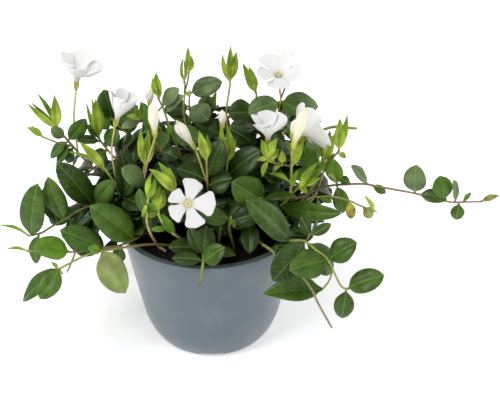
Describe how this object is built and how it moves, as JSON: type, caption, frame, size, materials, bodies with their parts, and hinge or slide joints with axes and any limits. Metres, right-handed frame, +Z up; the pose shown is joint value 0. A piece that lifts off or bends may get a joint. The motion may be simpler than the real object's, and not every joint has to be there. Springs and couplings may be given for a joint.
{
  "type": "potted alba lesser periwinkle",
  "caption": "Lesser periwinkle with white flowers and buds and glossy green leaf pairs on trailing stems, growing in a round tapered nursery pot.",
  "frame": {"origin": "centre of the pot's foot, on the surface that it stands on", "axes": "+Z up along the pot's axis, +X to the right of the picture, towards the long trailing stem, +Y away from the viewer"},
  "size_m": [0.3221, 0.1932, 0.1939],
  "materials": {
    "pot_plastic": "satin moulded",
    "potting_soil": "moist and granular",
    "periwinkle_green": "waxy gloss",
    "petal_white": "soft and thin"
  },
  "bodies": {
    "root": {"pot": "pot_plastic", "soil": "potting_soil", "shoot_back_middle": "periwinkle_green", "shoot_back_slim": "periwinkle_green", "shoot_centre_lean": "periwinkle_green", "shoot_centre_pale": "periwinkle_green", "shoot_centre_right": "periwinkle_green", "shoot_centre_stem": "periwinkle_green", "shoot_front_left": "periwinkle_green", "shoot_front_left_arc": "periwinkle_green", "shoot_front_node": "periwinkle_green", "shoot_front_right_big": "periwinkle_green", "shoot_inner_01": "periwinkle_green", "shoot_inner_03": "periwinkle_green", "shoot_inner_04": "periwinkle_green", "shoot_inner_05": "periwinkle_green", "shoot_inner_06": "periwinkle_green", "shoot_inner_07": "periwinkle_green", "shoot_inner_08": "periwinkle_green", "shoot_inner_09": "periwinkle_green", "shoot_inner_10": "periwinkle_green", "shoot_inner_11": "periwinkle_green", "shoot_inner_12": "periwinkle_green", "shoot_inner_13": "periwinkle_green", "shoot_inner_14": "periwinkle_green", "shoot_inner_15": "periwinkle_green", "shoot_left_back": "periwinkle_green", "shoot_left_brown": "periwinkle_green", "shoot_left_high": "periwinkle_green", "shoot_left_inner_low": "periwinkle_green", "shoot_left_low": "periwinkle_green", "shoot_left_middle": "periwinkle_green", "shoot_left_out": "periwinkle_green", "shoot_left_pale": "periwinkle_green", "shoot_left_spindle": "periwinkle_green", "shoot_right_fan": "periwinkle_green", "shoot_right_long": "periwinkle_green", "shoot_right_low": "periwinkle_green", "shoot_right_pink": "periwinkle_green", "shoot_right_short": "periwinkle_green", "shoot_right_stem": "periwinkle_green", "shoot_right_trail": "periwinkle_green", "shoot_right_twig": "periwinkle_green", "shoot_top_hook": "periwinkle_green", "shoot_top_left": "periwinkle_green", "shoot_top_middle": "periwinkle_green", "shoot_top_right": "periwinkle_green", "shoot_top_twin": "periwinkle_green", "bloom_centre": "petal_white", "bloom_left": "petal_white", "bloom_left_high": "petal_white", "bloom_right": "petal_white", "bloom_right_middle": "petal_white", "bloom_top_right": "petal_white", "bud_back": "petal_white", "bud_centre": "petal_white", "bud_left": "petal_white", "bud_right": "petal_white", "bud_small": "petal_white"}
  },
  "joints": []
}
